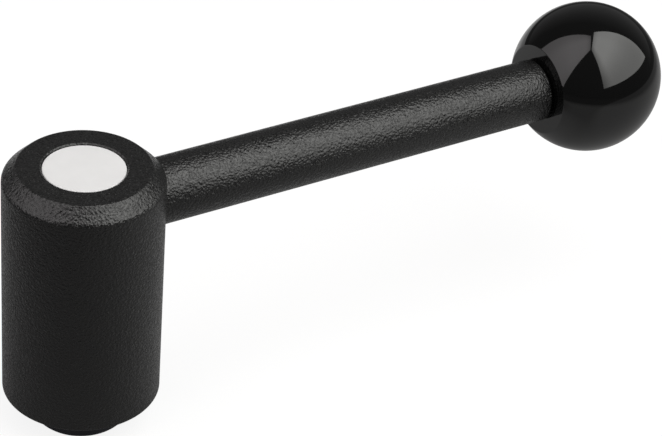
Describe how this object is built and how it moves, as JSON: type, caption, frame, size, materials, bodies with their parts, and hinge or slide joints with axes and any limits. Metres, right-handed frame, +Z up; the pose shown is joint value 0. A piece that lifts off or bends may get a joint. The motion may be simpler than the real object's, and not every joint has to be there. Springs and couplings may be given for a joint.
{
  "type": "tension lever",
  "caption": "Black tension lever with a ball knob: its hub lifts against a spring and swings on an index toothing round a threaded insert.",
  "frame": {"origin": "centre of the insert's seating face, on the axis of its thread", "axes": "+Z up the thread's axis towards the cap, +X along the arm towards the ball knob"},
  "size_m": [0.1178, 0.025, 0.0504],
  "materials": {
    "powder_coat": "satin",
    "insert_steel": "satin",
    "screw_steel": "satin",
    "spring_steel": "satin",
    "ball_plastic": "gloss",
    "cap_plastic": "matte"
  },
  "bodies": {
    "insert": {"toothed_insert": "insert_steel", "retaining_screw": "screw_steel"},
    "spring": {"lift_spring": "spring_steel"},
    "lever": {"hub": "powder_coat", "lever_arm": "powder_coat", "ball_knob": "ball_plastic", "cover_cap": "cap_plastic"}
  },
  "joints": [
    {"name": "lever_index", "type": "hinge", "parent": "insert", "child": "spring", "pos_m": [0, 0, 0], "axis": [0, 0, 1], "continuous": true},
    {"name": "lever_lift", "type": "slide", "parent": "spring", "child": "lever", "axis": [0, 0, 1], "range_m": [0, 0.0055], "stiffness_N_per_m": 1300, "springref_m": -0.006, "deforming": ["lift_spring"]}
  ]
}
